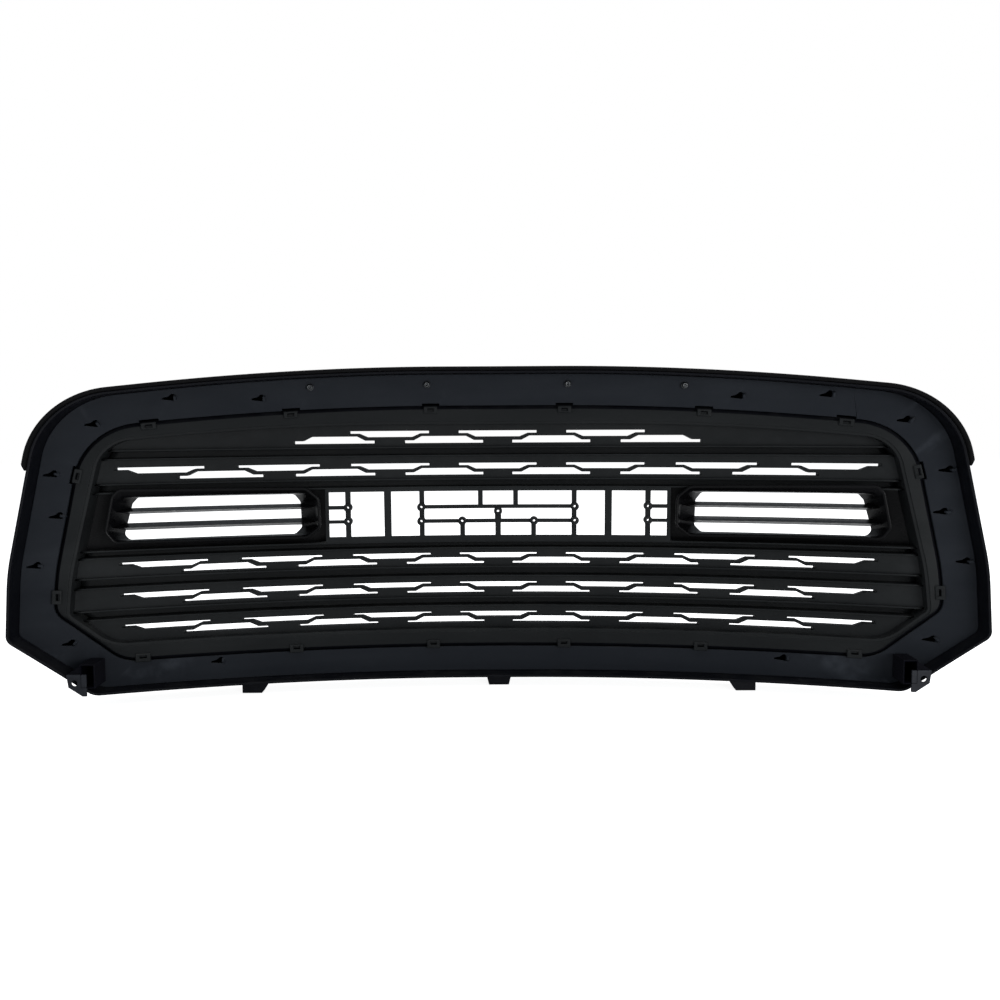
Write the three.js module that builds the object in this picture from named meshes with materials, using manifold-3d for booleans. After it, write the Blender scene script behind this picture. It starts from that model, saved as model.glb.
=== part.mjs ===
// Front grille of a full-size pickup: a bowed surround, a slotted insert, two side
// vents and a badge carrier, each moulding as its own closed solid.
// Millimetres. X runs across the grille, Z is up and the engine side faces +Y.
// The origin is the middle of the underside of the centre locating tab.
import * as THREE from "three";
import { mergeVertices } from "three/addons/utils/BufferGeometryUtils.js";
import Module from "manifold-3d";

const wasm = await Module();
wasm.setup();

// Driving dimensions
const HALF_WIDTH = 555;
const BOW = 118; // how far the ends sweep back from the middle
const LEAN = 0.04; // rearward lean for each millimetre of height
const LEAN_PIVOT = 200; // height at which the lean is zero
const WALL = 3;
const GAP = 0.4; // clearance between neighbouring mouldings
const RIM_DEPTH = 25; // how far the outer flange stands behind the rear panel
const RIM_FRONT = -5; // where the flange's straight wall ends
const SHOULDER = { inset: 5, depth: -24 }; // the bend between that wall and the front face
const CROWN = { share: 0.35, depth: -42 }; // shares count from the flange to the insert
const CREST = { share: 0.75, depth: -48 };
const RETURN_DEPTH = -44; // where the front face turns back towards the insert
const PANEL_CLEARANCE = 2.5; // between the insert's border and the surround around it
const BORDER_EDGE = 1.5; // half thickness of the border's outer edge
const BORDER_CREST = 3.5; // rear height of the border at the opening
const BORDER_DEPTH = -26; // front end of the border's inner wall
const BORDER_WALL = 2.5;
const ROW_PERIOD = 134; // repeat of the slot pattern
const BAR_REAR = -6;
const BAR_NOSE = -30;
const BAR_LIP = 2; // thickness of a channel bar's two walls
const LEDGE = 2.5; // how far the surround reaches in under the insert's border
const LEDGE_REAR = -WALL - GAP;
const LATTICE_FRONT = -11;
const LATTICE_REAR = -6;
const TAB_HEIGHT = 12;
const TAB_DEPTH = 14;
const TAB_OFFSET = 8; // how far the middle of a tab lies behind the bowed surface

// Outlines are right halves, bottom centre to top centre: [x, z, corner radius].
const FLANGE_OUTLINE = [
  [0, 12, 0], [472, 14, 20], [555, 86, 14], [549.5, 164, 300], [509, 359, 93],
  [239, 391, 3000], [0, 391, 0],
];
const INSERT_OUTLINE = [
  [0, 51, 0], [446, 51, 40], [512, 112, 18], [509, 155, 300], [473.7, 321, 72],
  [240, 345, 3500], [0, 345, 0],
];
const OPENING_OUTLINE = [
  [0, 70, 0], [458, 70, 45], [499.5, 108, 8], [494.5, 155, 300], [458, 308, 42],
  [270, 326.5, 3000], [0, 326.5, 0],
];
const EDGE_STEPS = [8, 2, 2, 3, 2, 1];
const ARC_STEPS = [3, 2, 2, 6, 6];
const TRIM_START = 285; // height where the hood-edge trim ends on each shoulder

// Channel bars [low rim, high rim] and slotted rows, bottom to top.
const BARS = [[96.8, 109.7], [134.7, 148.5], [170.5, 181], [247.4, 259.5], [286.8, 299.2]];
const ROWS = [
  { name: "slot_row_1", low: 70, high: 96.8, slots: [74.6, 89.3], upper: 3, lower: 3 },
  { name: "slot_row_2", low: 109.7, high: 134.7, slots: [112.8, 127.5], upper: 3, lower: 3 },
  { name: "slot_row_3", low: 148.5, high: 170.5, slots: [150.1, 164.8], upper: 3, lower: 3 },
  { name: "slot_row_4", low: 259.5, high: 286.8, slots: [263.2, 278.2], upper: 3, lower: 3 },
  { name: "slot_row_5", low: 299.2, arched: true, slots: [303.1, 318.5], upper: 1, lower: 2 },
];
const SLOT_WIDTH = { edge: 97.5, shoulder: 75, tip: 55 };
const UPPER_SLOT = { shoulder: -3.2, tip: -7.6 }; // heights from the slot's wide edge
const LOWER_SLOT = { shoulder: 3.6, tip: 8.8 };
const ROW_FRONT = -24;
const ROW_REAR = -11;
const ARCH_END = 7; // how far short of the opening's side the arched row stops
const CUT_REACH = 70; // half length of the cutters, along Y

const plastic = (color, roughness = 0.6) =>
  new THREE.MeshStandardMaterial({ color, roughness, metalness: 0 });
const panelPlastic = plastic(0x23262c, 0.62);
const coverPlastic = plastic(0x15171b, 0.45);
const insertPlastic = plastic(0x1b1c1d, 0.55);
const glossPlastic = plastic(0x0c0d0f, 0.3);
const rubber = plastic(0x121213, 0.8);
const metal = (color, roughness) => new THREE.MeshStandardMaterial({ color, roughness, metalness: 1 });
const coatedSteel = metal(0x34363a, 0.5);
const platedSteel = metal(0x9a9c9f, 0.35);

const grille = new THREE.Group();

function add(name, geometry, material) {
  const mesh = new THREE.Mesh(geometry, material);
  mesh.name = name;
  grille.add(mesh);
}

// The bowed, leaning surface that every moulding follows; a point's own depth is added to it.
function surfaceAt(x, z) {
  return BOW * (x / HALF_WIDTH) ** 2 + LEAN * (z - LEAN_PIVOT);
}

function bend(geometry) {
  const position = geometry.getAttribute("position");
  for (let i = 0; i < position.count; i += 1) {
    const rise = surfaceAt(position.getX(i), position.getZ(i));
    position.setY(i, position.getY(i) + rise);
  }
  return geometry;
}

// Points of the arc that rounds one corner.
function cornerArc(before, corner, after, radius, steps) {
  const back = before.clone().sub(corner).normalize();
  const ahead = after.clone().sub(corner).normalize();
  const half = Math.acos(back.dot(ahead)) / 2;
  const reach = radius / Math.tan(half);
  const bisector = back.clone().add(ahead).normalize();
  const centre = corner.clone().addScaledVector(bisector, radius / Math.sin(half));
  const first = corner.clone().addScaledVector(back, reach).sub(centre);
  const last = corner.clone().addScaledVector(ahead, reach).sub(centre);
  const sweep = Math.atan2(first.cross(last), first.dot(last));
  const points = [];
  for (let i = 0; i <= steps; i += 1) {
    const turned = first.clone().rotateAround(new THREE.Vector2(), (sweep * i) / steps);
    points.push(centre.clone().add(turned));
  }
  return points;
}

// The straight from one point to the next, without its last point.
function straight(from, to, steps) {
  const points = [];
  for (let i = 0; i < steps; i += 1) points.push(from.clone().lerp(to, i / steps));
  return points;
}

// Right half of a rounded outline, from bottom centre to top centre.
function halfOutline(corners) {
  const knots = corners.map(([x, z]) => new THREE.Vector2(x, z));
  const points = [];
  let from = knots[0];
  for (let i = 1; i < knots.length - 1; i += 1) {
    const arc = cornerArc(knots[i - 1], knots[i], knots[i + 1], corners[i][2], ARC_STEPS[i - 1]);
    points.push(...straight(from, arc[0], EDGE_STEPS[i - 1]), ...arc.slice(0, -1));
    from = arc.at(-1);
  }
  points.push(...straight(from, knots.at(-1), EDGE_STEPS[knots.length - 2]), knots.at(-1));
  return points;
}

const mirrored = (points) => points.map((p) => new THREE.Vector2(-p.x, p.y)).reverse();

function wholeOutline(corners) {
  const right = halfOutline(corners);
  return [...right, ...mirrored(right).slice(1, -1)];
}

// Closed outline of any corners, anticlockwise.
function roundedLoop(corners, edgeSteps, arcSteps) {
  const knots = corners.map(([x, z]) => new THREE.Vector2(x, z));
  const arcs = corners.map(([, , radius], i) => {
    const before = knots.at(i - 1);
    const after = knots[(i + 1) % knots.length];
    return cornerArc(before, knots[i], after, radius, arcSteps);
  });
  return arcs.flatMap((arc, i) => {
    const next = arcs[(i + 1) % arcs.length];
    return [...arc.slice(0, -1), ...straight(arc.at(-1), next[0], edgeSteps[i])];
  });
}

// The outline moved outwards by a distance, point by point.
function offset(outline, distance, closed = true) {
  const count = outline.length;
  return outline.map((point, i) => {
    const before = closed ? outline.at(i - 1) : outline[Math.max(i - 1, 0)];
    const after = closed ? outline[(i + 1) % count] : outline[Math.min(i + 1, count - 1)];
    const along = after.clone().sub(before).normalize();
    return new THREE.Vector2(point.x + along.y * distance, point.y - along.x * distance);
  });
}

// The part of a half outline above a height, starting exactly on it.
function above(outline, height) {
  const first = outline.findIndex((point) => point.y > height);
  const [under, over] = [outline[first - 1], outline[first]];
  const share = (height - under.y) / (over.y - under.y);
  return [under.clone().lerp(over, share), ...outline.slice(first)];
}

const blend = (from, to, share) => from.map((point, i) => point.clone().lerp(to[i], share));

// A closed mesh from corner points and faces, turned so that its faces point out.
function closedGeometry(points, faces) {
  let volume = 0;
  for (const [a, b, c] of faces) {
    volume += points[a].dot(points[b].clone().cross(points[c]));
  }
  const turned = volume > 0 ? faces : faces.map(([a, b, c]) => [a, c, b]);
  const geometry = new THREE.BufferGeometry();
  const flat = points.flatMap((point) => point.toArray());
  geometry.setAttribute("position", new THREE.Float32BufferAttribute(flat, 3));
  geometry.setIndex(turned.flat());
  geometry.computeVertexNormals();
  return geometry;
}

// Joins equal sections, each a list of points, into one skin. A closed run has no profile;
// an open one gets end caps, triangulated on the section's flat profile.
function loft(sections, profile = null) {
  const size = sections[0].length;
  const faces = [];
  const runs = profile ? sections.length - 1 : sections.length;
  for (let i = 0; i < runs; i += 1) {
    const here = i * size;
    const next = ((i + 1) % sections.length) * size;
    for (let k = 0; k < size; k += 1) {
      const after = (k + 1) % size;
      faces.push([here + k, next + k, next + after], [here + k, next + after, here + after]);
    }
  }
  if (profile) {
    const far = (sections.length - 1) * size;
    const inOrder = THREE.ShapeUtils.area(profile) > 0;
    for (const [a, b, c] of THREE.ShapeUtils.triangulateShape(profile, [])) {
      const [second, third] = inOrder ? [b, c] : [c, b];
      faces.push([a, second, third], [far + a, far + third, far + second]);
    }
  }
  return closedGeometry(sections.flat(), faces);
}

const flat = (corners) => corners.map(([a, b]) => new THREE.Vector2(a, b));

// A ring or rail whose section is given as [outline, depth] corners.
function rail(section, profile = null) {
  const sections = section[0][0].map((_, i) =>
    section.map(([outline, depth]) => new THREE.Vector3(outline[i].x, depth, outline[i].y)),
  );
  return bend(loft(sections, profile));
}

// A flat outline in X and Z, given thickness from one depth to another.
function plate(outline, front, rear) {
  const shape = new THREE.Shape(outline);
  const geometry = new THREE.ExtrudeGeometry(shape, { depth: rear - front, bevelEnabled: false });
  return geometry.rotateX(Math.PI / 2).translate(0, rear, 0);
}

function box(x0, x1, y0, y1, z0, z1) {
  const geometry = new THREE.BoxGeometry(x1 - x0, y1 - y0, z1 - z0);
  return geometry.translate((x0 + x1) / 2, (y0 + y1) / 2, (z0 + z1) / 2);
}

// A round bar along Y between two depths.
function pin(x, z, radius, front, rear, sides = 12) {
  const geometry = new THREE.CylinderGeometry(radius, radius, rear - front, sides);
  return geometry.translate(x, (front + rear) / 2, z);
}

function solid(geometry) {
  const bare = geometry.clone();
  bare.deleteAttribute("normal");
  bare.deleteAttribute("uv");
  const merged = mergeVertices(bare, 1e-4);
  return new wasm.Manifold(
    new wasm.Mesh({
      numProp: 3,
      vertProperties: merged.getAttribute("position").array,
      triVerts: new Uint32Array(merged.index.array),
    }),
  );
}

function geometryOf(manifold) {
  const mesh = manifold.getMesh();
  const geometry = new THREE.BufferGeometry();
  geometry.setAttribute("position", new THREE.Float32BufferAttribute(mesh.vertProperties, 3));
  geometry.setIndex(Array.from(mesh.triVerts));
  geometry.computeVertexNormals();
  return geometry;
}

const joined = (geometries) => geometries.map(solid).reduce((sum, next) => sum.add(next));

const flange = wholeOutline(FLANGE_OUTLINE);
const insert = wholeOutline(INSERT_OUTLINE);
const opening = wholeOutline(OPENING_OUTLINE);
const rightOpening = halfOutline(OPENING_OUTLINE);

// Height of the opening's arched top at a distance from the middle.
function openingTop(x) {
  const far = Math.abs(x);
  const top = rightOpening.findLastIndex((point) => point.x >= far);
  const [side, centre] = [rightOpening[top], rightOpening[top + 1] ?? rightOpening[top]];
  const share = side.x > centre.x ? (far - centre.x) / (side.x - centre.x) : 0;
  return centre.y + (side.y - centre.y) * share;
}

// Half width of the insert's opening at a height, taken on its side.
function openingHalfWidth(z) {
  const widest = rightOpening.reduce((best, p, i) => (p.x > rightOpening[best].x ? i : best), 0);
  const side = z < rightOpening[widest].y
    ? rightOpening.slice(0, widest + 1)
    : rightOpening.slice(widest);
  for (let i = 1; i < side.length; i += 1) {
    const [low, high] = side[i - 1].y < side[i].y ? [side[i - 1], side[i]] : [side[i], side[i - 1]];
    if (high.y > low.y && z >= low.y && z <= high.y) {
      return low.x + ((high.x - low.x) * (z - low.y)) / (high.y - low.y);
    }
  }
  throw new Error(`no opening at height ${z}`);
}

// The nearest point of an outline, with the direction that points out of it.
function footOn(outline, x, z) {
  const target = new THREE.Vector2(x, z);
  let best = null;
  outline.forEach((from, i) => {
    const run = outline[(i + 1) % outline.length].clone().sub(from);
    const along = target.clone().sub(from).dot(run) / run.lengthSq();
    const point = from.clone().addScaledVector(run, THREE.MathUtils.clamp(along, 0, 1));
    const distance = point.distanceTo(target);
    if (!best || distance < best.distance) {
      best = { point, distance, normal: new THREE.Vector2(run.y, -run.x).normalize() };
    }
  });
  return best;
}

// A short bar across an outline: its profile is [distance outwards, depth] corners.
function crossPiece(foot, profile, width) {
  const along = new THREE.Vector2(-foot.normal.y, foot.normal.x);
  const ends = [-width / 2, width / 2].map((shift) =>
    profile.map(([out, depth]) => {
      const place = foot.point.clone().addScaledVector(foot.normal, out);
      place.addScaledVector(along, shift);
      return new THREE.Vector3(place.x, depth, place.y);
    }),
  );
  return bend(loft(ends, flat(profile)));
}

// Surround

function makeSurroundCover() {
  const inner = offset(insert, PANEL_CLEARANCE);
  const ledge = offset(insert, -LEDGE);
  const crown = blend(flange, insert, CROWN.share);
  const crest = blend(flange, insert, CREST.share);
  const section = [
    [flange, RIM_DEPTH],
    [flange, RIM_FRONT],
    [offset(flange, -SHOULDER.inset), SHOULDER.depth],
    [crown, CROWN.depth],
    [crest, CREST.depth],
    [inner, RETURN_DEPTH],
    [inner, LEDGE_REAR - WALL],
    [ledge, LEDGE_REAR - WALL],
    [ledge, LEDGE_REAR],
    [offset(inner, WALL), LEDGE_REAR],
    [offset(inner, WALL), RETURN_DEPTH + WALL + 1],
    [crest, CREST.depth + WALL],
    [crown, CROWN.depth + WALL],
    [offset(flange, -SHOULDER.inset - WALL), SHOULDER.depth + 1],
    [offset(flange, -WALL), RIM_FRONT],
    [offset(flange, -WALL), RIM_DEPTH],
  ];
  add("surround_cover", rail(section), coverPlastic);
}

// Small hooks that stand on the rear panel, as [x, z] on the right half.
const PANEL_HOOKS = [
  [344, 40], [503, 74], [533, 168], [508.5, 224.5], [512, 273], [468, 330], [386, 360], [287, 359],
];
const HOOK_PROFILE = [[-4, -1.5], [4, -1.5], [4, 1.5], [-1, 7], [-4, 7]];
const HOOK_WIDTH = 3;

function makeSurroundPanel() {
  const outer = offset(flange, -WALL - GAP);
  const inner = offset(insert, PANEL_CLEARANCE);
  const panel = rail([[outer, 0], [inner, 0], [inner, -WALL], [outer, -WALL]]);
  const hooks = PANEL_HOOKS.flatMap(([x, z]) => [x, -x].map((side) => {
    const foot = footOn(flange, side, z);
    foot.point.set(side, z);
    return crossPiece(foot, HOOK_PROFILE, HOOK_WIDTH);
  }));
  add("surround_panel", geometryOf(joined([panel, ...hooks])), panelPlastic);
}

// A strip around the outside of the flange: its thickness, and its front and rear depth.
const TRIM = { thickness: 4.6, front: -8, rear: 28 };

function makeHoodEdgeTrim() {
  const right = above(halfOutline(FLANGE_OUTLINE), TRIM_START);
  const arch = [...right, ...mirrored(right).slice(1)];
  const { thickness, front, rear } = TRIM;
  const outside = GAP + thickness;
  const section = [[outside, front], [outside, rear], [GAP, rear], [GAP, front]];
  const rails = section.map(([out, depth]) => [offset(arch, out, false), depth]);
  add("hood_edge_trim", rail(rails, flat(section)), rubber);
}

// Insert

// Stations from side to side, as shares of the half width.
const ACROSS = Array.from({ length: 15 }, (_, i) => i / 7 - 1);

function makeInsertBorder() {
  const wall = offset(opening, BORDER_WALL);
  const section = [
    [insert, BORDER_EDGE], [opening, BORDER_CREST], [opening, BORDER_DEPTH],
    [wall, BORDER_DEPTH], [wall, -1], [insert, -BORDER_EDGE],
  ];
  add("insert_border", rail(section), insertPlastic);
}

// A run from side to side of the insert, whose section is [z, depth] corners.
function acrossInsert(profile) {
  const sections = ACROSS.map((share) =>
    profile.map(([z, depth]) => {
      const reach = openingHalfWidth(z) - GAP;
      return new THREE.Vector3(share * reach, depth, z);
    }),
  );
  return bend(loft(sections, flat(profile)));
}

function makeChannelBar(index, [low, high]) {
  const [top, bottom] = [high - BAR_LIP, low + BAR_LIP];
  const shoulder = BAR_NOSE + 6;
  const floor = BAR_NOSE + 5;
  const profile = [
    [high, BAR_REAR], [high, shoulder], [top, BAR_NOSE], [bottom, BAR_NOSE], [low, shoulder],
    [low, BAR_REAR], [bottom, BAR_REAR], [bottom, floor], [top, floor], [top, BAR_REAR],
  ];
  add(`channel_bar_${index + 1}`, acrossInsert(profile), insertPlastic);
}

// The top strip lies between the highest bar and the arched top of the opening.
function archedStrip(low) {
  const reach = openingHalfWidth(low) - ARCH_END;
  const sections = ACROSS.map((share) => {
    const x = share * reach;
    const high = openingTop(x) - GAP;
    return [[low, ROW_REAR], [low, ROW_FRONT], [high, ROW_FRONT], [high, ROW_REAR]]
      .map(([z, depth]) => new THREE.Vector3(x, depth, z));
  });
  return bend(loft(sections, flat([[0, 1], [0, 0], [1, 0], [1, 1]])));
}

// Cuts one slot: a wide edge with short upright ends, then a taper from the shoulder to the tip.
function slotCutter(centre, edge, { shoulder, tip }) {
  const right = [
    [SLOT_WIDTH.edge, 0], [SLOT_WIDTH.edge, shoulder],
    [SLOT_WIDTH.shoulder, shoulder], [SLOT_WIDTH.tip, tip],
  ].map(([width, rise]) => new THREE.Vector2(width / 2, edge + rise));
  const outline = [...right, ...mirrored(right)];
  const middle = surfaceAt(centre, edge);
  const cutter = plate(outline, middle - CUT_REACH, middle + CUT_REACH);
  return solid(cutter.translate(centre, 0, 0));
}

function slotCutters({ slots: [low, high], upper, lower }) {
  const cutters = [];
  for (let i = -upper; i <= upper; i += 1) {
    cutters.push(slotCutter(i * ROW_PERIOD, high, UPPER_SLOT));
  }
  for (let i = -lower; i < lower; i += 1) {
    cutters.push(slotCutter((i + 0.5) * ROW_PERIOD, low, LOWER_SLOT));
  }
  return cutters;
}

function makeSlotRow(row) {
  const low = row.low + GAP;
  const high = row.high - GAP;
  const blank = row.arched
    ? archedStrip(low)
    : acrossInsert([[low, ROW_REAR], [low, ROW_FRONT], [high, ROW_FRONT], [high, ROW_REAR]]);
  const slotted = slotCutters(row).reduce((body, cutter) => body.subtract(cutter), solid(blank));
  add(row.name, geometryOf(slotted), insertPlastic);
}

// Clips that tie the insert to the surround, as [x, z] on the right half.
const CLIPS = [
  [82, 342], [249, 339], [408, 330], [483.5, 270], [510, 130], [425, 57], [250, 55], [82, 53],
];
const CLIP_PROFILE = [[-6, 3.2], [-6, 6], [4, 6], [7, 4], [7, 1.2], [3.2, 1.2], [3.2, 3.2]];
const CLIP_WIDTH = 16;

function makeInsertClips() {
  CLIPS.forEach(([x, z], i) => {
    for (const [side, name] of [[x, "left"], [-x, "right"]]) {
      const clip = crossPiece(footOn(insert, side, z), CLIP_PROFILE, CLIP_WIDTH);
      add(`insert_clip_${name}_${i + 1}`, clip, insertPlastic);
    }
  });
}

// Side vents: a rim, a neck that clears the bar above, a smaller throat at the front, and a
// front flange that closes the band between the bars. All four have matching corners.
const VENT_RIM = [
  [233.6, 187.7, 10], [450, 189, 10], [459.7, 203, 9], [451, 245.6, 8], [443.7, 254, 8],
  [233.6, 251, 12], [218, 237.5, 12], [217, 200.7, 10],
];
const VENT_NECK = [
  [236, 189.5, 8], [449, 190, 8], [457, 204, 8], [449, 240, 5], [442, 246, 5],
  [236, 246, 8], [221, 235, 8], [220, 202, 8],
];
const VENT_THROAT = [
  [254, 191, 6], [443, 190.5, 6], [448, 197, 6], [438, 234, 4], [432, 241, 4],
  [254, 240.5, 6], [247, 231, 6], [246, 199, 6],
];
const VENT_FLANGE = [
  [219, 181.5, 1], [481, 181.8, 1], [486.5, 186, 1], [473, 243.6, 1], [469, 246.9, 1],
  [219, 246.7, 1], [215.4, 243, 1], [215, 185, 1],
];
const VENT_EDGES = [5, 1, 1, 1, 5, 1, 1, 1];
const VENT_FRONT = -29;
const VENT_SLATS = [{ low: 202, high: 211, outer: 451.2 }, { low: 221.5, high: 229, outer: 447.2 }];
const SLAT_INNER = 227; // inner end of a slat's rear edge
const SLAT_REAR = -5;
const SLAT_SHOULDER = -27;
const SLAT_TAPER = { inner: 0.85, outer: 0.36 }; // narrowing for each millimetre forwards
const SLAT_STEPS = 4;

// A wedge that narrows towards the front with the bezel's two end walls.
function slatGeometry({ low, high, outer }, side) {
  const middle = (low + high) / 2;
  const profile = [
    [SLAT_REAR, middle + 1], [SLAT_SHOULDER, high], [VENT_FRONT, middle], [SLAT_SHOULDER, low],
  ];
  const sections = Array.from({ length: SLAT_STEPS + 1 }, (_, step) =>
    profile.map(([depth, z]) => {
      const from = SLAT_INNER + SLAT_TAPER.inner * (SLAT_REAR - depth);
      const to = outer - SLAT_TAPER.outer * (SLAT_REAR - depth);
      const x = THREE.MathUtils.lerp(from, to, step / SLAT_STEPS);
      return new THREE.Vector3(side * x, depth, z);
    }),
  );
  return bend(loft(sections, flat(profile)));
}

function makeVent(side, name) {
  const loop = (corners) => roundedLoop(corners, VENT_EDGES, 2)
    .map((point) => new THREE.Vector2(point.x * side, point.y));
  const [rim, neck, throat, flangeEdge] = [VENT_RIM, VENT_NECK, VENT_THROAT, VENT_FLANGE].map(loop);
  const thicker = (outline, distance) => offset(outline, side * distance);
  const section = [
    [rim, 4], [rim, 0.5], [neck, -2], [thicker(throat, 2.5), VENT_FRONT + 2.5],
    [flangeEdge, VENT_FRONT + 2.5], [flangeEdge, VENT_FRONT],
    [throat, VENT_FRONT], [thicker(neck, -2.5), -2], [thicker(rim, -3), 4],
  ];
  add(`vent_bezel_${name}`, rail(section), glossPlastic);
  VENT_SLATS.forEach((slat, i) => {
    add(`vent_slat_${name}_${i + 1}`, slatGeometry(slat, side), glossPlastic);
  });
}

// Badge carrier: an openwork plate with ring bosses, symmetrical about the middle.
const CARRIER_HALF = 213;
const CARRIER_LOW = 181 + GAP;
const CARRIER_HIGH = 247.4 - GAP;
// Windows on the right half: [x from, x to, z from, z to].
const SIDE_WINDOWS = [
  [191, 209, 187.5, 204.5], [191, 209, 208.5, 222], [191, 209, 226.5, 243.5],
  [141.5, 180, 187.5, 243.5], [98, 133, 187.5, 243.5],
  [25, 92, 226, 243.5], [4, 92, 208, 221.5], [47.5, 92, 187.5, 203.5], [3.5, 41.5, 187.5, 203.5],
];
const MIDDLE_WINDOW = [-19, 19, 226, 243.5];
const BOSSES = [[185.7, 224.3], [185.7, 206.9], [95.6, 223.7], [95.7, 206], [44.9, 205.7]];
const MIDDLE_BOSS = [0, 217.9];
const BOSS_RADIUS = 5.2;
const BOSS_BORE = 2.5;

function makeBadgeCarrier() {
  const [low, high] = [CARRIER_LOW, CARRIER_HIGH];
  const profile = [[low, LATTICE_REAR], [low, LATTICE_FRONT], [high, LATTICE_FRONT], [high, LATTICE_REAR]];
  const sections = ACROSS.map((share) =>
    profile.map(([z, depth]) => new THREE.Vector3(share * CARRIER_HALF, depth, z)),
  );
  const cut = ([x0, x1, z0, z1]) => {
    const middle = surfaceAt(x1, z0);
    return solid(box(x0, x1, middle - CUT_REACH, middle + CUT_REACH, z0, z1));
  };
  const windows = SIDE_WINDOWS.flatMap(([a, b, c, d]) => [[a, b, c, d], [-b, -a, c, d]]);
  const bosses = [MIDDLE_BOSS, ...BOSSES.flatMap(([x, z]) => [[x, z], [-x, z]])];
  const blank = solid(bend(loft(sections, flat(profile))));
  const lattice = [...windows, MIDDLE_WINDOW].reduce((body, window) => body.subtract(cut(window)), blank);
  const carrier = bosses.reduce((body, [x, z]) => {
    const boss = solid(bend(pin(x, z, BOSS_RADIUS, LATTICE_FRONT - 1, LATTICE_REAR + 3, 10)));
    const bore = solid(bend(pin(x, z, BOSS_BORE, LATTICE_FRONT - 4, LATTICE_REAR + 6, 8)));
    return body.add(boss).subtract(bore);
  }, lattice);
  add("badge_carrier", geometryOf(carrier), insertPlastic);
}

// Fixings

const BRACKET_BOX = [464, 481]; // inner and outer side of the pocketed box
const BRACKET_PLATE = [[474, 17.5], [479, 17.5], [495, 28], [497, 43], [474, 43]];
const BRACKET_HOLE = [488, 33, 3.5]; // x, z and radius

function makeLowerBracket(side, name) {
  const front = surfaceAt(BRACKET_BOX[1], 55) + 1;
  const seat = surfaceAt(BRACKET_PLATE[3][0], BRACKET_PLATE[3][1]) + RIM_DEPTH + 1;
  const rear = seat + WALL;
  const across = ([x0, x1], y0, y1, z0, z1) =>
    solid(box(Math.min(side * x0, side * x1), Math.max(side * x0, side * x1), y0, y1, z0, z1));
  const [inner, outer] = BRACKET_BOX;
  const pocket = across([inner + WALL, outer - WALL], front + WALL, rear + WALL, 30, 52);
  const [holeX, holeZ, holeRadius] = BRACKET_HOLE;
  const hole = solid(pin(side * holeX, holeZ, holeRadius, front, rear + WALL));
  const bracket = across(BRACKET_BOX, front, rear, 27, 55)
    .add(solid(plate(flat(BRACKET_PLATE.map(([x, z]) => [side * x, z])), seat, rear)))
    .subtract(pocket)
    .subtract(hole);
  add(`lower_bracket_${name}`, geometryOf(bracket), coatedSteel);
}

// A tapered locating tab under the surround: widths at the top and at the bottom.
function makeLocatingTab(name, x, topWidth, bottomWidth) {
  const top = TAB_HEIGHT - GAP;
  const outline = [[-bottomWidth, 0], [bottomWidth, 0], [topWidth, top], [-topWidth, top]]
    .map(([width, z]) => new THREE.Vector2(x + width / 2, z));
  const middle = surfaceAt(x, 0) + TAB_OFFSET;
  add(name, plate(outline, middle - TAB_DEPTH / 2, middle + TAB_DEPTH / 2), coverPlastic);
}

const TRIM_SCREWS = [[86, 375], [226, 372]];
const SCREW_RADIUS = 4;
const SCREW_HEIGHT = 4;
const SCREW_SEAT = 1.4; // clears the bowed panel on both sides of the head

function makeTrimScrews() {
  TRIM_SCREWS.forEach(([x, z], i) => {
    for (const [side, name] of [[x, "left"], [-x, "right"]]) {
      const seat = surfaceAt(side, z) + SCREW_SEAT;
      const screw = pin(side, z, SCREW_RADIUS, seat, seat + SCREW_HEIGHT);
      add(`trim_screw_${name}_${i + 1}`, screw, platedSteel);
    }
  });
}

makeSurroundCover();
makeSurroundPanel();
makeHoodEdgeTrim();
makeInsertBorder();
BARS.forEach((bar, index) => makeChannelBar(index, bar));
ROWS.forEach(makeSlotRow);
makeInsertClips();
makeVent(1, "left");
makeVent(-1, "right");
makeBadgeCarrier();
makeLowerBracket(1, "left");
makeLowerBracket(-1, "right");
makeLocatingTab("locating_tab_centre", 0, 31, 25);
makeLocatingTab("locating_tab_left", 298, 32, 24);
makeLocatingTab("locating_tab_right", -298, 32, 24);
makeTrimScrews();

export default grille;
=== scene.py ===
import math

import bmesh
import bpy
import numpy as np
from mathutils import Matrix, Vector


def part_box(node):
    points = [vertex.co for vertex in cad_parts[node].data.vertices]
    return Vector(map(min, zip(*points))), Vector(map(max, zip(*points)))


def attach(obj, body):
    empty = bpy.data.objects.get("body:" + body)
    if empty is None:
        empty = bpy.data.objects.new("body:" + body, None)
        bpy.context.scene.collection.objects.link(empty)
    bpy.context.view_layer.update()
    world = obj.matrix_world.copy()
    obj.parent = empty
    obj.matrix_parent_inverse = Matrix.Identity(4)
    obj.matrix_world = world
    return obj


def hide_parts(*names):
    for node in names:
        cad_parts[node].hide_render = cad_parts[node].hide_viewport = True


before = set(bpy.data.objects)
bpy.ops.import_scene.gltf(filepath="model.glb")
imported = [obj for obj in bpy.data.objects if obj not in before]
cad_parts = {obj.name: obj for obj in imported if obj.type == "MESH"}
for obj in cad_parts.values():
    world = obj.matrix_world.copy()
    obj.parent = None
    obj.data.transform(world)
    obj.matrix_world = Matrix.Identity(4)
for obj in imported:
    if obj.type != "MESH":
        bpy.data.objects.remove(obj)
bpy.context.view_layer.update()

# Front grille of a pickup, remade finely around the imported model. Lengths are in
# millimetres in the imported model's frame until a mesh is built, which turns them to metres.
MM = 0.001

# Driving dimensions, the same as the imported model's
HALF_WIDTH = 555
BOW = 118
LEAN = 0.04
LEAN_PIVOT = 200
WALL = 3
GAP = 0.4
RIM_DEPTH = 25
ROW_PERIOD = 134
LAP = 0.7  # how far a moulded-on strip reaches into its neighbour
CUT_REACH = 70  # half the length of a cutter that passes right through

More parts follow.
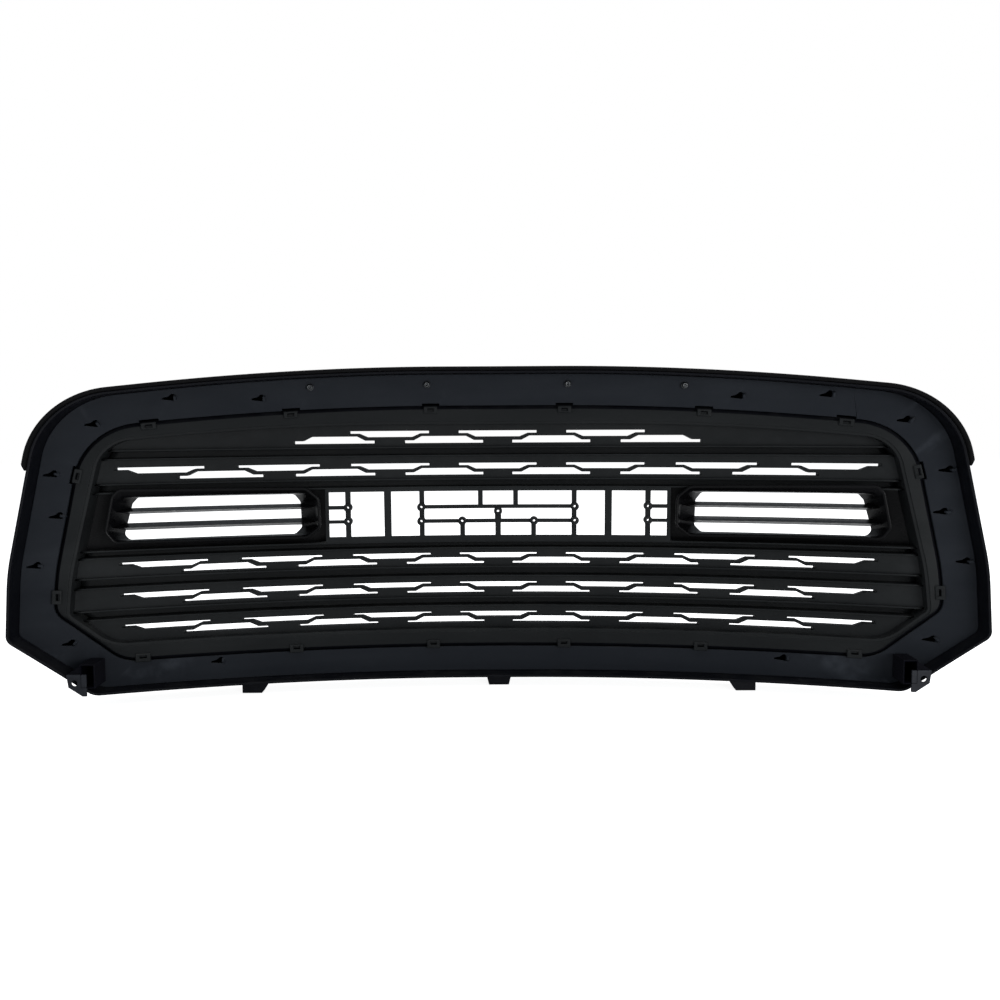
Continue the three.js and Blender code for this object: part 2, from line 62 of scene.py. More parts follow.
# Right halves of the outlines, bottom centre to top centre: x, z, corner radius.
FLANGE_OUTLINE = [
    (0, 12, 0), (472, 14, 20), (555, 86, 14), (549.5, 164, 300), (509, 359, 93),
    (239, 391, 3000), (0, 391, 0),
]
INSERT_OUTLINE = [
    (0, 51, 0), (446, 51, 40), (512, 112, 18), (509, 155, 300), (473.7, 321, 72),
    (240, 345, 3500), (0, 345, 0),
]
OPENING_OUTLINE = [
    (0, 70, 0), (458, 70, 45), (499.5, 108, 8), (494.5, 155, 300), (458, 308, 42),
    (270, 326.5, 3000), (0, 326.5, 0),
]
EDGE_STEPS = [24, 5, 8, 14, 10, 8]
ARC_STEPS = [12, 8, 10, 22, 26]
TRIM_START = 285


# Points and outlines. An outline is an array of complex numbers, x + z * 1j.

def unit(vector):
    return vector / abs(vector)


def surface_at(x, z):
    """Depth of the bowed, leaning surface that every moulding follows."""
    return BOW * (x / HALF_WIDTH) ** 2 + LEAN * (z - LEAN_PIVOT)


def bent(outline, depth):
    """The outline's points in space, at their own depth behind the bowed surface."""
    outline = np.asarray(outline, complex)
    x, z = outline.real, outline.imag
    return np.stack([x, surface_at(x, z) + depth, z], axis=1)


def corner_arc(before, corner, after, radius, steps):
    back = unit(before - corner)
    ahead = unit(after - corner)
    half = math.acos((back * ahead.conjugate()).real) / 2
    centre = corner + unit(back + ahead) * radius / math.sin(half)
    first = corner + back * radius / math.tan(half) - centre
    last = corner + ahead * radius / math.tan(half) - centre
    sweep = np.angle(last / first)
    return centre + first * np.exp(1j * sweep * np.linspace(0, 1, steps + 1))


def straight(start, end, steps):
    """Points of the straight, without its last one."""
    return start + (end - start) * np.arange(steps) / steps


def half_outline(corners):
    knots = [complex(x, z) for x, z, _ in corners]
    runs = []
    start = knots[0]
    for i in range(1, len(knots) - 1):
        arc = corner_arc(knots[i - 1], knots[i], knots[i + 1], corners[i][2], ARC_STEPS[i - 1])
        runs += [straight(start, arc[0], EDGE_STEPS[i - 1]), arc[:-1]]
        start = arc[-1]
    runs += [straight(start, knots[-1], EDGE_STEPS[-1]), knots[-1:]]
    return np.concatenate(runs)


def mirrored(outline):
    return -np.conj(outline)[::-1]


def whole_outline(corners):
    right = half_outline(corners)
    return np.concatenate([right, mirrored(right)[1:-1]])


def rounded_loop(corners, edge_steps, arc_steps):
    """A closed outline of any corners."""
    knots = [complex(x, z) for x, z, _ in corners]
    count = len(knots)
    arcs = [
        corner_arc(knots[i - 1], knots[i], knots[(i + 1) % count], corners[i][2], arc_steps)
        for i in range(count)
    ]
    runs = []
    for i, arc in enumerate(arcs):
        runs += [arc[:-1], straight(arc[-1], arcs[(i + 1) % count][0], edge_steps[i])]
    return np.concatenate(runs)


def offset(outline, distance, closed=True):
    """The outline moved outwards, point by point; it runs anticlockwise."""
    if closed:
        along = np.roll(outline, -1) - np.roll(outline, 1)
    else:
        along = np.gradient(outline)
    return outline - 1j * distance * along / abs(along)


def blend(start, end, share):
    return start + (end - start) * share


def above(outline, height):
    """The part of a half outline above a height, starting exactly on it."""
    first = np.argmax(outline.imag > height)
    under, over = outline[first - 1], outline[first]
    share = (height - under.imag) / (over.imag - under.imag)
    return np.concatenate([[blend(under, over, share)], outline[first:]])


def foot_on(outline, x, z):
    """The nearest point of an outline and the direction out of it."""
    target = complex(x, z)
    run = np.roll(outline, -1) - outline
    along = ((target - outline) * np.conj(run)).real / abs(run) ** 2
    feet = outline + run * np.clip(along, 0, 1)
    nearest = np.argmin(abs(feet - target))
    return feet[nearest], -1j * unit(run[nearest])


flange = whole_outline(FLANGE_OUTLINE)
insert = whole_outline(INSERT_OUTLINE)
opening = whole_outline(OPENING_OUTLINE)
opening_right = half_outline(OPENING_OUTLINE)


def opening_half_width(z):
    return np.interp(z, opening_right.imag, opening_right.real)


def opening_top(x):
    roof = opening_right[np.argmax(opening_right.real):][::-1]
    return np.interp(np.abs(x), roof.real, roof.imag)


def opening_bottom(x):
    sill = opening_right[:np.argmax(opening_right.real) + 1]
    return np.interp(np.abs(x), sill.real, sill.imag)


# Shells. A shell is a pair: its points, in millimetres, and its faces.

def soften(corners, radii, steps=3):
    """Rounds the corners of a section. Each corner is an array of points along the piece."""
    rows = []
    for k, radius in enumerate(radii):
        here = corners[k]
        if not radius:
            rows.append(here)
            continue
        sides = [corners[k - 1] - here, corners[(k + 1) % len(corners)] - here]
        ends = []
        for side in sides:
            length = np.linalg.norm(side, axis=1, keepdims=True)
            ends.append(here + side / length * np.minimum(radius, 0.45 * length))
        for t in np.linspace(0, 1, steps + 1):
            rows.append((1 - t) ** 2 * ends[0] + 2 * t * (1 - t) * here + t * t * ends[1])
    return rows


def skin(rows, closed=True):
    """A shell over rows of points: the rows go round the section and run along the piece."""
    count = len(rows[0])
    steps = count if closed else count - 1
    faces = []
    for k in range(len(rows)):
        here, after = k * count, (k + 1) % len(rows) * count
        for i in range(steps):
            j = (i + 1) % count
            faces.append((here + i, here + j, after + j, after + i))
    if not closed:
        first = [k * count for k in range(len(rows))]
        faces += [first, [i + count - 1 for i in reversed(first)]]
    return np.concatenate(rows), faces


def rail(section, closed=True):
    """A ring or rail whose section is given as outline, depth and corner radius."""
    corners = [bent(outline, depth) for outline, depth, _ in section]
    return skin(soften(corners, [radius for *_, radius in section]), closed)


def prism(outline, front, rear):
    """A flat outline in X and Z, given thickness along Y."""
    outline = np.asarray(outline, complex)
    sides = [np.stack([outline.real, np.full(len(outline), y), outline.imag], axis=1)
             for y in (front, rear)]
    return skin([np.stack(pair) for pair in zip(*sides)], closed=False)


def rectangle(x0, x1, z0, z1):
    return [complex(x0, z0), complex(x1, z0), complex(x1, z1), complex(x0, z1)]


LATHE_SIDES = 28


def lathe(x, z, profile, seat, closed=False):
    """Turned about a line along Y. The profile is radius, depth; an open one gets end faces."""
    turn = np.exp(2j * np.pi * np.arange(LATHE_SIDES) / LATHE_SIDES)
    rows = []
    for radius, depth in profile:
        ring = complex(x, z) + radius * turn
        rows.append(np.stack([ring.real, np.full(LATHE_SIDES, seat + depth), ring.imag], axis=1))
    if closed:
        return skin(rows)
    faces = []
    for here in range(0, (len(rows) - 1) * LATHE_SIDES, LATHE_SIDES):
        after = here + LATHE_SIDES
        for i in range(LATHE_SIDES):
            j = (i + 1) % LATHE_SIDES
            faces.append((here + i, here + j, after + j, after + i))
    last = (len(rows) - 1) * LATHE_SIDES
    faces += [list(range(LATHE_SIDES)), list(range(last, last + LATHE_SIDES))[::-1]]
    return np.concatenate(rows), faces


def cross_piece(foot, outwards, profile, width):
    """A short bar across an outline: its profile is distance outwards, depth."""
    along = 1j * outwards
    rows = []
    for out, depth in profile:
        ends = [foot + outwards * out + along * shift for shift in (-width / 2, width / 2)]
        rows.append(bent(ends, depth))
    return skin(rows, closed=False)


# Objects

def build(name, *shells):
    mesh = bpy.data.meshes.new(name)
    maker = bmesh.new()
    for points, faces in shells:
        verts = [maker.verts.new(point * MM) for point in points]
        for face in faces:
            maker.faces.new([verts[i] for i in face])
    bmesh.ops.recalc_face_normals(maker, faces=maker.faces)
    maker.to_mesh(mesh)
    maker.free()
    piece = bpy.data.objects.new(name, mesh)
    bpy.context.collection.objects.link(piece)
    return piece


def apply_modifiers(piece):
    graph = bpy.context.evaluated_depsgraph_get()
    shaped = bpy.data.meshes.new_from_object(piece.evaluated_get(graph))
    piece.modifiers.clear()
    piece.data = shaped


def cut(piece, *shells):
    tool = build("cutter", *shells)
    boolean = piece.modifiers.new("cut", "BOOLEAN")
    boolean.operation = "DIFFERENCE"
    boolean.solver = "EXACT"
    boolean.object = tool
    apply_modifiers(piece)
    bpy.data.objects.remove(tool)


def finished(piece, material, slot, *nodes, bevel=0.0, limit=40):
    """Rounds the sharp edges, smooths the shading and puts the piece in the frame."""
    for face in piece.data.polygons:
        face.use_smooth = True
    if bevel:
        rounding = piece.modifiers.new("rounding", "BEVEL")
        rounding.width = bevel * MM
        rounding.segments = 2
        rounding.limit_method = "ANGLE"
        rounding.angle_limit = math.radians(limit)
        rounding.use_clamp_overlap = False
    weighting = piece.modifiers.new("weighting", "WEIGHTED_NORMAL")
    weighting.keep_sharp = True
    apply_modifiers(piece)
    piece.data.materials.clear()
    piece.data.materials.append(material)
    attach(piece, "root")
    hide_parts(*nodes)
    return piece


def heights(node):
    """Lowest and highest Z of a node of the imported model, in millimetres."""
    low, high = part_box(node)
    return low.z / MM, high.z / MM


# Materials

class Shader:
    """A material's node tree, with a Principled BSDF and short ways to add to it."""

    def __init__(self, name, **sockets):
        self.material = bpy.data.materials.new(name)
        self.material.use_nodes = True
        self.tree = self.material.node_tree
        self.surface = self.tree.nodes["Principled BSDF"]
        self.place = self.tree.nodes.new("ShaderNodeTexCoord").outputs["Object"]
        for socket, value in sockets.items():
            self.surface.inputs[socket.replace("_", " ")].default_value = value

    def node(self, kind, inputs=None, **settings):
        made = self.tree.nodes.new(kind)
        for key, value in settings.items():
            setattr(made, key, value)
        for key, value in (inputs or {}).items():
            if isinstance(value, bpy.types.NodeSocket):
                self.tree.links.new(value, made.inputs[key])
            else:
                made.inputs[key].default_value = value
        return made

    def noise(self, scale, detail, stretch=(1, 1, 1)):
        mapping = self.node("ShaderNodeMapping", {"Vector": self.place, "Scale": stretch})
        texture = self.node("ShaderNodeTexNoise", {
            "Vector": mapping.outputs[0], "Scale": scale, "Detail": detail,
        })
        return texture.outputs["Fac"]

    def spread(self, value, low, high, to_low=0.0, to_high=1.0):
        """The value's range from low to high, stretched to another one."""
        return self.node("ShaderNodeMapRange", {
            "Value": value, "From Min": low, "From Max": high, "To Min": to_low, "To Max": to_high,
        }).outputs[0]

    def product(self, first, second):
        return self.node("ShaderNodeMath", {0: first, 1: second}, operation="MULTIPLY").outputs[0]

    def total(self, first, second):
        return self.node("ShaderNodeMath", {0: first, 1: second}, operation="ADD").outputs[0]

    def mix(self, share, first, second):
        made = self.node("ShaderNodeMix", {"Factor": share}, data_type="RGBA")
        for name, value in (("A", first), ("B", second)):
            socket = next(s for s in made.inputs if s.name == name and s.type == "RGBA")
            if isinstance(value, bpy.types.NodeSocket):
                self.tree.links.new(value, socket)
            else:
                socket.default_value = (*value, 1)
        return next(s for s in made.outputs if s.type == "RGBA")

    def bump(self, height, distance, strength, below=None):
        inputs = {"Height": height, "Distance": distance, "Strength": strength}
        if below is not None:
            inputs["Normal"] = below
        return self.node("ShaderNodeBump", inputs).outputs[0]

    def link(self, value, socket):
        self.tree.links.new(value, self.surface.inputs[socket])

    def edges(self):
        """1 along raised edges, 0 on flats and in corners."""
        pointiness = self.node("ShaderNodeNewGeometry").outputs["Pointiness"]
        return self.spread(pointiness, 0.52, 0.62)

    def facing_up(self):
        normal = self.node("ShaderNodeNewGeometry").outputs["Normal"]
        height = self.node("ShaderNodeSeparateXYZ", {0: normal}).outputs["Z"]
        return self.spread(height, 0.25, 0.95)


EDGE_WEAR = 0.35
DUST = (0.16, 0.155, 0.145)


def moulded_plastic(name, dark, light, roughness, grain, specular, dust):
    """Moulded plastic: cloudy tone, flow marks, a fine grain, rubbed edges and dust on top."""
    shader = Shader(name, Specular_IOR_Level=specular)
    clouds = shader.spread(shader.noise(5, 4), 0.35, 0.65)
    flow = shader.spread(shader.noise(14, 3, (0.35, 1, 2.5)), 0.3, 0.7)
    tone = shader.mix(shader.product(clouds, flow), dark, light)
    scuffed = tuple(min(1, 2.4 * value + 0.01) for value in light)
    rubbed = shader.product(shader.edges(), shader.spread(shader.noise(60, 4), 0.4, 0.7))
    tone = shader.mix(shader.product(rubbed, EDGE_WEAR), tone, scuffed)
    dusty = shader.product(shader.facing_up(), shader.spread(shader.noise(38, 5), 0.42, 0.72))
    tone = shader.mix(shader.product(dusty, dust), tone, DUST)
    shader.link(tone, "Base Color")
    patchy = shader.spread(shader.noise(22, 4), 0.3, 0.7, roughness - 0.06, roughness + 0.08)
    shader.link(shader.total(patchy, shader.product(rubbed, -0.08)), "Roughness")
    wavy = shader.bump(shader.noise(16, 2), 0.0006, 0.35)
    grainy = shader.bump(shader.noise(2600, 2), 0.00006 * grain, 0.6, wavy)
    shader.link(grainy, "Normal")
    return shader.material


def gloss_plastic(name, dark, light, roughness):
    """Polished black plastic: faint orange peel, fine swirls and a dulled patch here and there."""
    shader = Shader(name, Specular_IOR_Level=0.15)
    shader.link(shader.mix(shader.spread(shader.noise(9, 4), 0.35, 0.65), dark, light), "Base Color")
    swirls = shader.noise(140, 6, (1, 1, 5))
    shader.link(shader.spread(swirls, 0.3, 0.7, roughness - 0.05, roughness + 0.1), "Roughness")
    shader.link(shader.bump(shader.noise(90, 2), 0.00015, 0.35), "Normal")
    return shader.material


def coated_steel(name, dark, light, roughness, metallic, specular):
    """Sheet or turned steel with a coating: mottled tone, fine brushing and bright rubbed edges."""
    shader = Shader(name, Metallic=metallic, Specular_IOR_Level=specular)
    mottle = shader.spread(shader.noise(120, 5), 0.35, 0.65)
    tone = shader.mix(mottle, dark, light)
    bright = tuple(min(1, 2.2 * value + 0.02) for value in light)
    tone = shader.mix(shader.product(shader.edges(), 0.6), tone, bright)
    shader.link(tone, "Base Color")
    brushing = shader.noise(900, 3, (0.15, 1, 1))
    shader.link(shader.spread(brushing, 0.3, 0.7, roughness - 0.08, roughness + 0.12), "Roughness")
    shader.link(shader.bump(brushing, 0.00004, 0.5), "Normal")
    return shader.material


COVER = moulded_plastic(
    "cover_plastic", (0.005, 0.0055, 0.008), (0.009, 0.0095, 0.013), 0.42, 1.0, 0.13, dust=0.08,
)
TRIM = moulded_plastic(
    "trim_rubber", (0.003, 0.003, 0.0035), (0.006, 0.006, 0.007), 0.75, 5.0, 0.15, dust=0.08,
)
PANEL = moulded_plastic(
    "panel_plastic", (0.015, 0.018, 0.024), (0.025, 0.029, 0.036), 0.56, 1.6, 0.15, dust=0.3,
)
INSERT = moulded_plastic(
    "insert_plastic", (0.014, 0.0155, 0.0165), (0.023, 0.025, 0.026), 0.5, 1.2, 0.15, dust=0.15,
)
VENT = gloss_plastic("vent_plastic", (0.0025, 0.0025, 0.003), (0.005, 0.005, 0.006), 0.3)
BRACKET = coated_steel("bracket_steel", (0.01, 0.011, 0.015), (0.018, 0.02, 0.026), 0.55, 0.1, 0.3)
# Near-black that is partly the socket's own black and partly painted shade: it makes the socket and the
# gusset read as the shaded hollow above the bracket plate.
PAINTED_SHADE_BLACK = coated_steel("bracket_socket_painted_shade", (0.0008, 0.0008, 0.002), (0.002, 0.002, 0.005), 0.8, 0, 0.05)
SCREW = coated_steel("screw_steel", (0.09, 0.095, 0.1), (0.16, 0.165, 0.17), 0.42, 1.0, 0.5)


# Surround

PANEL_CLEARANCE = 2.5
SHADOW_GAP = 1.8  # added to the clearance, so that the seam reads as a dark line
LEDGE = 2.5
LEDGE_REAR = -WALL - GAP


def make_surround_cover():
    inner = offset(insert, PANEL_CLEARANCE)
    ledge = offset(insert, -LEDGE)
    crown = blend(flange, insert, 0.35)
    crest = blend(flange, insert, 0.75)
    section = [
        (flange, RIM_DEPTH, 0.9), (flange, -5, 9), (offset(flange, -5), -24, 14),
        (crown, -42, 18), (crest, -48, 16), (inner, -44, 2.4),
        (inner, LEDGE_REAR - WALL, 0.8), (ledge, LEDGE_REAR - WALL, 0.7), (ledge, LEDGE_REAR, 0.7),
        (offset(inner, WALL), LEDGE_REAR, 0), (offset(inner, WALL), -40, 2),
        (crest, -45, 12), (crown, -39, 14), (offset(flange, -8), -23, 10),
        (offset(flange, -WALL), -5, 6), (offset(flange, -WALL), RIM_DEPTH, 0.9),
    ]
    cover = build("surround_cover_fine", rail(section))
    finished(cover, COVER, "cover_plastic", "surround_cover")


PANEL_HOOKS = [
    (344, 40), (503, 74), (533, 168), (508.5, 224.5), (512, 273), (468, 330), (386, 360), (287, 359),
]
# The tapering window in the panel beside each hook, about the hook's place.
HOOK_WINDOW = [7.5 - 2j, -6.5 - 3.6j, -7 + 2.5j, -5.5 + 4.4j, -3 + 4.4j, 1 + 1.2j, 7 - 0.2j]
HOOK_PROFILE = [
    (-3.5, -1.5), (3.5, -1.5), (3.5, 1.5), (1.5, 4.5), (-3.5, 4.5), (-3.5, 3.2), (0, 2.6), (-2.5, 1.5),
]
HOOK_SHIFT = 7.5  # from the window's middle to its tall side, where the hook stands
HOOK_WIDTH = 2.6
WINDOW_REACH = 8  # half the length of a window's cutter
CLIPS = [
    (82, 342), (249, 339), (408, 330), (483.5, 270), (510, 130), (425, 57), (250, 55), (82, 53),
]
NOTCHED_CLIPS = 4  # the first ones stand in notches of the panel
NOTCH_PROFILE = [(0, -6), (7, -6), (7, 4), (0, 4)]
NOTCH_WIDTH = 21


def panel_windows():
    windows = []
    for x, z in PANEL_HOOKS:
        for side in (x, -x):
            middle = surface_at(side, z)
            outline = complex(side, z) + np.array(HOOK_WINDOW)
            windows.append(prism(outline, middle - WINDOW_REACH, middle + WINDOW_REACH))
    return windows


def panel_notches():
    """Room in the panel's inner edge for the clips along the top and the sides."""
    notches = []
    for x, z in CLIPS[:NOTCHED_CLIPS]:
        for side in (x, -x):
            foot, outwards = foot_on(insert, side, z)
            notches.append(cross_piece(foot, outwards, NOTCH_PROFILE, NOTCH_WIDTH))
    return notches


def make_surround_panel():
    outer = offset(flange, -WALL - GAP)
    inner = offset(insert, PANEL_CLEARANCE + SHADOW_GAP)
    section = [(outer, 0, 0.8), (inner, 0, 0.8), (inner, -WALL, 0.6), (outer, -WALL, 0)]
    panel = build("surround_panel_fine", rail(section))
    cut(panel, *panel_windows())
    cut(panel, *panel_notches())
    finished(panel, PANEL, "panel_plastic", "surround_panel", bevel=0.35)
    shells = []
    for x, z in PANEL_HOOKS:
        for side in (x, -x):
            foot = complex(side - HOOK_SHIFT, z)
            shells.append(cross_piece(foot, foot_on(flange, side, z)[1], HOOK_PROFILE, HOOK_WIDTH))
    hooks = build("surround_panel_hooks", *shells)
    finished(hooks, PANEL, "panel_plastic", "surround_panel", bevel=0.3)


# Section of the hood-edge trim: distance outwards, depth, corner radius, and how far the rail
# runs on past the strip's start, which slants the tips.
TRIM_SECTION = [(5, -8, 1.2, 0), (5, 28, 2.4, 0), (GAP, 28, 1.8, 7), (GAP, -8, 0.8, 7)]


def run_on(curve, length):
    """The open curve with both of its ends drawn out along itself."""
    drawn = curve.copy()
    drawn[0] += length * unit(curve[0] - curve[1])
    drawn[-1] += length * unit(curve[-1] - curve[-2])
    return drawn


def make_hood_edge_trim():
    right = above(half_outline(FLANGE_OUTLINE), TRIM_START)
    arch = np.concatenate([right, mirrored(right)[1:]])
    rails = [
        (run_on(offset(arch, out, closed=False), length), depth, radius)
        for out, depth, radius, length in TRIM_SECTION
    ]
    trim = build("hood_edge_trim_fine", rail(rails, closed=False))
    finished(trim, TRIM, "trim_rubber", "hood_edge_trim", bevel=0.8, limit=60)


# Insert

BORDER_WALL = 2.5
BORDER_LIP = 3.2  # from the opening to the step of the lip
BORDER_FRONT = -26


def make_insert_border():
    wall = offset(opening, BORDER_WALL)
    lip = offset(opening, BORDER_LIP)
    section = [
        (insert, 1.5, 0.9), (lip, 3.5, 0.8), (lip, 2.4, 0.4), (opening, 2.2, 0.7),
        (opening, BORDER_FRONT, 0.8), (wall, BORDER_FRONT, 0.8), (wall, -1, 0), (insert, -1.5, 0.8),
    ]
    border = build("insert_border_fine", rail(section))
    finished(border, INSERT, "insert_plastic", "insert_border")


BAR_STATIONS = 97
BAR_REAR = -6
BAR_NOSE = -30
BAR_LIP = 2
BAR_SHOULDER = BAR_NOSE + 6
BAR_FLOOR = BAR_NOSE + 5


def across_insert(profile):
    """A run from side to side of the insert, whose section is z, depth and corner radius."""
    shares = np.linspace(-1, 1, BAR_STATIONS)
    corners = [
        bent(shares * (opening_half_width(z) + LAP) + 1j * z, depth) for z, depth, _ in profile
    ]
    return skin(soften(corners, [radius for *_, radius in profile]), closed=False)


def make_channel_bar(number):
    name = f"channel_bar_{number}"
    low, high = heights(name)
    top, bottom = high - BAR_LIP, low + BAR_LIP
    profile = [
        (high, BAR_REAR, 0.7), (high, BAR_SHOULDER, 3),
        (top, BAR_NOSE, 2.4), (bottom, BAR_NOSE, 2.4),
        (low, BAR_SHOULDER, 3), (low, BAR_REAR, 0.7),
        (bottom, BAR_REAR, 0.7), (bottom, BAR_FLOOR, 1.5),
        (top, BAR_FLOOR, 1.5), (top, BAR_REAR, 0.7),
    ]
    bar = build(name + "_fine", across_insert(profile))
    finished(bar, INSERT, "insert_plastic", name)


# Slots of each row: the lower and the upper edge, and how many along the upper and along the
# lower edge lie on each side of the middle.
ROW_SLOTS = {
    1: (74.6, 89.3, 3, 3), 2: (112.8, 127.5, 3, 3), 3: (150.1, 164.8, 3, 3),
    4: (263.2, 278.2, 3, 3), 5: (303.1, 318.5, 1, 2),
}
BOTTOM_ROW = 1
ARCHED_ROW = 5
ROW_SHORT = 1.2  # how far the top and the bottom row stop before the opening's corners
ROW_ENDS = np.array([53, 44, 35, 27, 20, 14, 9, 5, 2])  # close stations' distances from the end
SLOT_WIDTH = (97.5, 75, 55)  # across the wide edge, the shoulder and the tip
UPPER_SLOT = (-3.2, -7.6)  # heights of the shoulder and the tip from the wide edge
LOWER_SLOT = (3.6, 8.8)
ROW_FRONT = -24
ROW_REAR = -11
STATIONS_PER_PERIOD = 6
STATION_MARGIN = 3  # least distance from the last even station to the end of the row


def slot_cutter(centre, edge, rises):
    """A wide edge with short upright ends, then a taper from the shoulder to the tip."""
    wide, middle, narrow = (width / 2 for width in SLOT_WIDTH)
    shoulder, tip = rises
    right = np.array([
        complex(wide, 0), complex(wide, shoulder), complex(middle, shoulder), complex(narrow, tip),
    ])
    outline = complex(centre, edge) + np.concatenate([right, mirrored(right)])
    depth = surface_at(centre, edge)
    return prism(outline, depth - CUT_REACH, depth + CUT_REACH)


def slot_cutters(low, high, upper, lower):
    cutters = [slot_cutter(i * ROW_PERIOD, high, UPPER_SLOT) for i in range(-upper, upper + 1)]
    for i in range(-lower, lower):
        cutters.append(slot_cutter((i + 0.5) * ROW_PERIOD, low, LOWER_SLOT))
    return cutters


def even_stations(reach):
    """Evenly spaced places across a row, none of them at a corner of a slot."""
    step = ROW_PERIOD / STATIONS_PER_PERIOD
    count = math.floor((reach - STATION_MARGIN) / step)
    return step * np.arange(-count, count + 1)


def close_stations(reach):
    """Even stations with closer ones at both ends, where the edge follows a rounded corner."""
    ends = reach - ROW_ENDS
    return np.concatenate([[-reach], -ends[::-1], even_stations(ends[0]), ends, [reach]])


def row_edges(number, low, high):
    """Lower and upper edge of a row, which reach a little into the mouldings around it."""
    if number == ARCHED_ROW:
        x = close_stations(opening_half_width(low) - ROW_SHORT)
        return x + 1j * (low - LAP), x + 1j * (opening_top(x) + LAP)
    if number == BOTTOM_ROW:
        x = close_stations(opening_half_width(high) - ROW_SHORT)
        return x + 1j * (opening_bottom(x) - LAP), x + 1j * (high + LAP)
    reaches = [opening_half_width(z) + LAP for z in (low, high)]
    inner = even_stations(min(reaches))
    lines = [np.concatenate([[-reach], inner, [reach]]) for reach in reaches]
    return lines[0] + 1j * (low - LAP), lines[1] + 1j * (high + LAP)


def make_slot_row(number):
    name = f"slot_row_{number}"
    lower, upper = row_edges(number, *heights(name))
    corners = [(lower, ROW_REAR), (lower, ROW_FRONT), (upper, ROW_FRONT), (upper, ROW_REAR)]
    row = build(name + "_fine", skin([bent(edge, depth) for edge, depth in corners], closed=False))
    cut(row, *slot_cutters(*ROW_SLOTS[number]))
    finished(row, INSERT, "insert_plastic", name, bevel=0.5)


CLIP_WIDTH = 16
CLIP_WINDOW = [(-3, 0), (1, 0), (1, 9), (-3, 9)]
CLIP_REACH = 5.5
NOTCHED_REACH = 3.6


def make_insert_clips():
    for i, (x, z) in enumerate(CLIPS, start=1):
        reach = NOTCHED_REACH if i <= NOTCHED_CLIPS else CLIP_REACH
        profile = [
            (-5, 1.6), (-5, 3.4), (-4, 4.4), (reach - 1.2, 4.4), (reach, 3.4),
            (reach, 0.6), (2.6, 0.6), (2.6, 1.6),
        ]
        for side, hand in ((x, "left"), (-x, "right")):
            name = f"insert_clip_{hand}_{i}"
            foot, outwards = foot_on(insert, side, z)
            clip = build(name + "_fine", cross_piece(foot, outwards, profile, CLIP_WIDTH))
            cut(clip, cross_piece(foot, outwards, CLIP_WINDOW, CLIP_WIDTH / 2))
            finished(clip, INSERT, "insert_plastic", name, bevel=0.45)


# Vents

VENT_RIM = [
    (233.6, 187.7, 10), (450, 189, 10), (459.7, 203, 9), (451, 245.6, 8), (443.7, 254, 8),
    (233.6, 251, 12), (218, 237.5, 12), (217, 200.7, 10),
]
VENT_NECK = [
    (236, 189.5, 8), (449, 190, 8), (457, 204, 8), (449, 240, 5), (442, 246, 5),
    (236, 246, 8), (221, 235, 8), (220, 202, 8),
]
VENT_THROAT = [
    (254, 191, 6), (443, 190.5, 6), (448, 197, 6), (438, 234, 4), (432, 241, 4),
    (254, 240.5, 6), (247, 231, 6), (246, 199, 6),
]
VENT_FLANGE = [
    (217, 181.3, 1), (489, 181.2, 1), (489.5, 186, 1), (474, 243.6, 1), (472, 246.9, 1),
    (217, 246.8, 1), (215.2, 245, 1), (215, 183.2, 1),
]
VENT_EDGES = [24, 3, 6, 3, 24, 3, 6, 3]
VENT_ARC = 6
VENT_FRONT = -29
VENT_WALL = 2.5
VENT_SLATS = [(202, 211, 451.2), (221.5, 229, 447.2)]  # low and high edge, outer end at the rear
SLAT_INNER = 227
SLAT_REAR = -5
SLAT_SHOULDER = -27
SLAT_STATIONS = 40
SLAT_LAP = 1.5  # how far a slat's ends reach into the bezel's walls
VENT_LAP = 2.2  # how far the bezel's front flange reaches behind the bars
SLAT_TAPER = (0.85, 0.36)  # how the inner and the outer end draw in, going forwards


def slat_shell(side, low, high, outer):
    """A wedge with rounded edges, whose ends draw in with the bezel's end walls."""
    middle = (low + high) / 2
    profile = [
        (SLAT_REAR, middle + 1, 0.9), (SLAT_SHOULDER, high, 1.4), (VENT_FRONT, middle, 1),
        (SLAT_SHOULDER, low, 1.4),
    ]
    corners = []
    for depth, z, _ in profile:
        inner_end = SLAT_INNER + SLAT_TAPER[0] * (SLAT_REAR - depth) - SLAT_LAP
        outer_end = outer - SLAT_TAPER[1] * (SLAT_REAR - depth) + SLAT_LAP
        stations = np.linspace(inner_end, outer_end, SLAT_STATIONS)
        corners.append(bent(side * stations + 1j * z, depth))
    rows = soften(corners, [radius for *_, radius in profile], steps=5)
    return skin(rows, closed=False)


def make_vent(side, hand):
    loops = []
    for corners in (VENT_RIM, VENT_NECK, VENT_THROAT, VENT_FLANGE):
        loop = rounded_loop(corners, VENT_EDGES, VENT_ARC)
        loops.append(loop.real * side + 1j * loop.imag)
    rim, neck, throat, edge = loops
    edge = offset(edge, side * VENT_LAP)
    section = [
        (rim, 4, 1.5), (rim, 0.5, 0.6), (neck, -2, 2),
        (offset(throat, side * VENT_WALL), VENT_FRONT + VENT_WALL, 2),
        (edge, VENT_FRONT + VENT_WALL, 0.5), (edge, VENT_FRONT, 0.8), (throat, VENT_FRONT, 1.2),
        (offset(neck, side * -VENT_WALL), -2, 3), (offset(rim, side * -WALL), 4, 1.5),
    ]
    bezel = build(f"vent_bezel_{hand}_fine", rail(section))
    finished(bezel, VENT, "vent_plastic", f"vent_bezel_{hand}")
    for i, measures in enumerate(VENT_SLATS, start=1):
        slat = build(f"vent_slat_{hand}_{i}_fine", slat_shell(side, *measures))
        finished(slat, VENT, "vent_plastic", f"vent_slat_{hand}_{i}")


# Badge carrier

